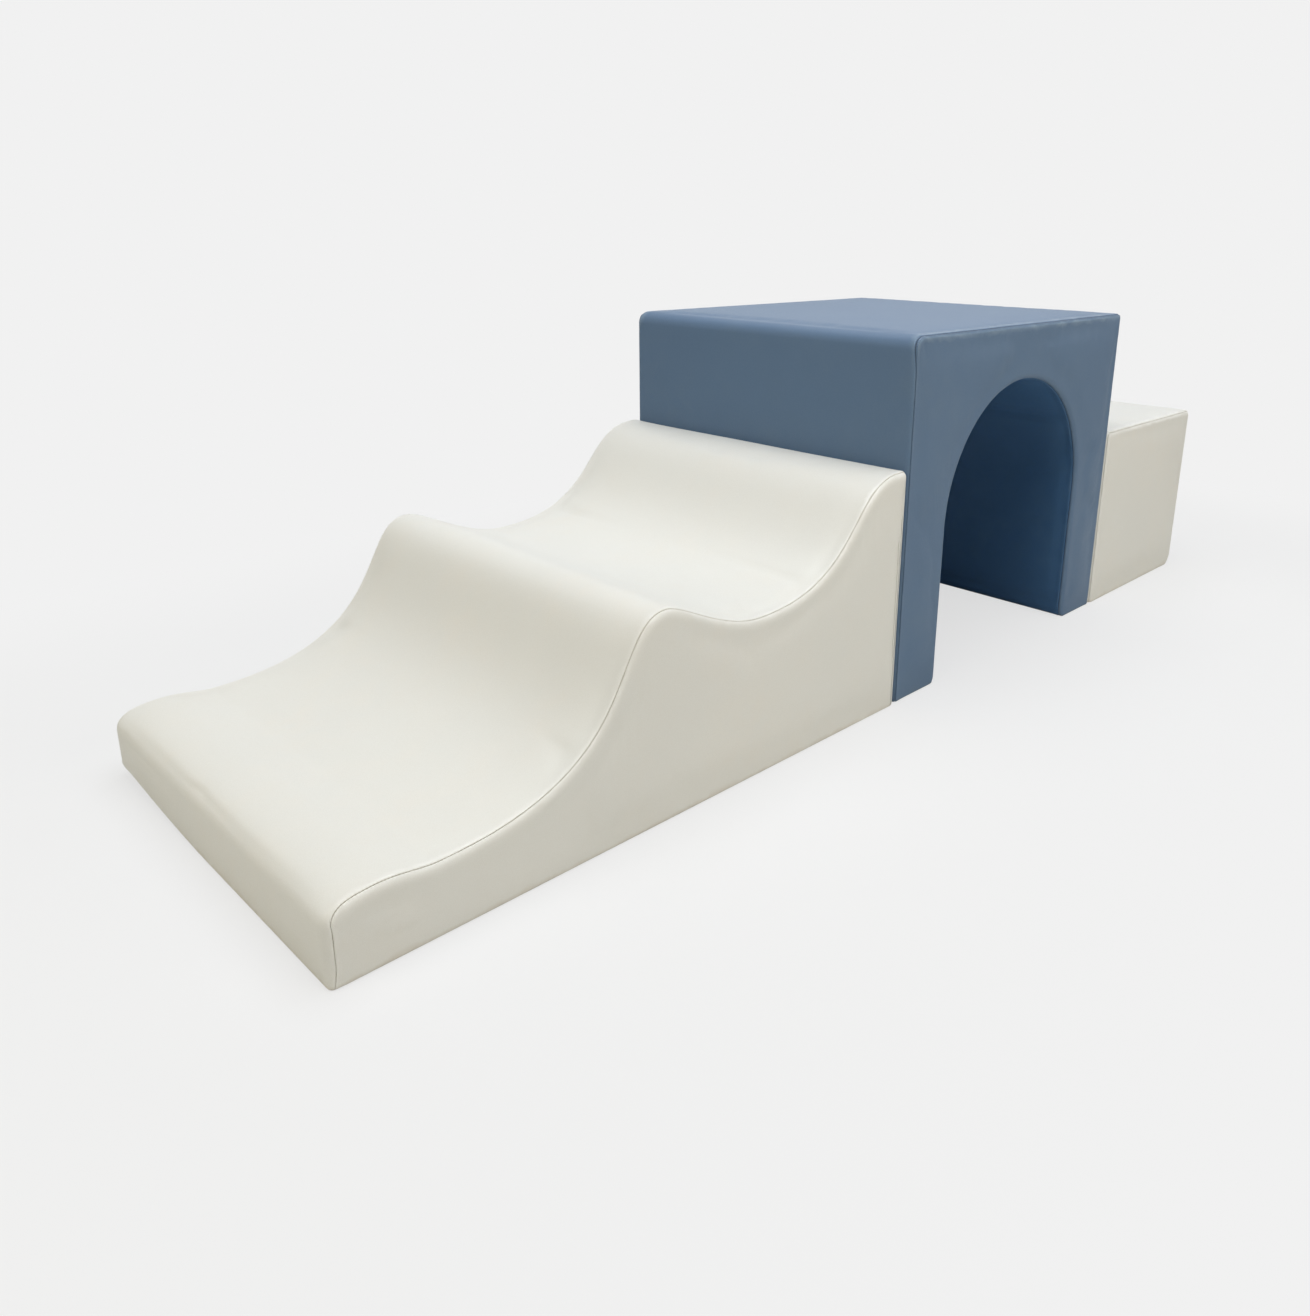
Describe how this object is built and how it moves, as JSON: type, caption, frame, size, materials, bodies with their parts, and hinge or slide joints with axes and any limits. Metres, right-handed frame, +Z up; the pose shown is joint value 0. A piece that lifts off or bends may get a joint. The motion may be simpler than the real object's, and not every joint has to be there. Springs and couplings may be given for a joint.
{
  "type": "climbing playset",
  "caption": "Soft climbing set in a row: leather-covered foam wave ramp, arched crawl-through tunnel block and step block, held together by hook-and-loop strips.",
  "frame": {"origin": "on the floor, under the middle of the row of blocks", "axes": "+X along the row from the ramp's low end to the step block, +Y across the row towards the side that faces away in the picture, +Z up"},
  "size_m": [2.1066, 0.636, 0.6],
  "materials": {
    "ivory_leather": "satin",
    "blue_leather": "satin",
    "foam": "matte",
    "base_fabric": "matte",
    "zip_tape": "matte",
    "zip_coil": "satin",
    "zip_metal": "satin",
    "loop_strip": "matte",
    "hook_strip": "matte"
  },
  "bodies": {
    "tunnel": {"tunnel_foam_core": "foam", "tunnel_outer_cover": "blue_leather", "tunnel_arch_lining": "blue_leather", "tunnel_face_panel_near": "blue_leather", "tunnel_face_panel_far": "blue_leather", "tunnel_base_panel_front": "base_fabric", "tunnel_base_panel_rear": "base_fabric", "tunnel_zip_front_tape": "zip_tape", "tunnel_zip_front_chain": "zip_coil", "tunnel_zip_rear_tape": "zip_tape", "tunnel_zip_rear_chain": "zip_coil", "tunnel_hook_strip_front": "hook_strip", "tunnel_hook_strip_rear": "hook_strip"},
    "ramp": {"ramp_foam_core": "foam", "ramp_top_cover": "ivory_leather", "ramp_side_panel_near": "ivory_leather", "ramp_side_panel_far": "ivory_leather", "ramp_base_panel": "base_fabric", "ramp_zip_tape": "zip_tape", "ramp_zip_chain": "zip_coil", "ramp_loop_strip": "loop_strip"},
    "step": {"step_foam_core": "foam", "step_top_cover": "ivory_leather", "step_side_panel_near": "ivory_leather", "step_side_panel_far": "ivory_leather", "step_base_panel": "base_fabric", "step_zip_tape": "zip_tape", "step_zip_chain": "zip_coil", "step_loop_strip": "loop_strip"},
    "ramp_slider": {"ramp_zip_slider": "zip_metal"},
    "ramp_pull": {"ramp_zip_pull": "zip_metal"},
    "tunnel_front_slider": {"tunnel_zip_front_slider": "zip_metal"},
    "tunnel_front_pull": {"tunnel_zip_front_pull": "zip_metal"},
    "tunnel_rear_slider": {"tunnel_zip_rear_slider": "zip_metal"},
    "tunnel_rear_pull": {"tunnel_zip_rear_pull": "zip_metal"},
    "step_slider": {"step_zip_slider": "zip_metal"},
    "step_pull": {"step_zip_pull": "zip_metal"}
  },
  "joints": [
    {"name": "ramp_pull_away", "type": "slide", "parent": "tunnel", "child": "ramp", "axis": [-1, 0, 0], "range_m": [0, 0.4]},
    {"name": "step_pull_away", "type": "slide", "parent": "tunnel", "child": "step", "axis": [1, 0, 0], "range_m": [0, 0.4]},
    {"name": "ramp_zip_run", "type": "slide", "parent": "ramp", "child": "ramp_slider", "axis": [1, 0, 0], "range_m": [0, 0.7464]},
    {"name": "ramp_pull_swing", "type": "hinge", "parent": "ramp_slider", "child": "ramp_pull", "pos_m": [-0.9315, 0, 0.0019], "axis": [0, 1, 0], "range_deg": [0, 180]},
    {"name": "tunnel_front_zip_run", "type": "slide", "parent": "tunnel", "child": "tunnel_front_slider", "axis": [0, 1, 0], "range_m": [0, 0.4864]},
    {"name": "tunnel_front_pull_swing", "type": "hinge", "parent": "tunnel_front_slider", "child": "tunnel_front_pull", "pos_m": [-0.0103, -0.2402, 0.0019], "axis": [-1, 0, 0], "range_deg": [0, 180]},
    {"name": "tunnel_rear_zip_run", "type": "slide", "parent": "tunnel", "child": "tunnel_rear_slider", "axis": [0, 1, 0], "range_m": [0, 0.4864]},
    {"name": "tunnel_rear_pull_swing", "type": "hinge", "parent": "tunnel_rear_slider", "child": "tunnel_rear_pull", "pos_m": [0.5783, -0.2402, 0.0019], "axis": [-1, 0, 0], "range_deg": [0, 180]},
    {"name": "step_zip_run", "type": "slide", "parent": "step", "child": "step_slider", "axis": [0, 1, 0], "range_m": [0, 0.4664]},
    {"name": "step_pull_swing", "type": "hinge", "parent": "step_slider", "child": "step_pull", "pos_m": [0.83281, -0.2302, 0.0019], "axis": [-1, 0, 0], "range_deg": [0, 180]}
  ]
}
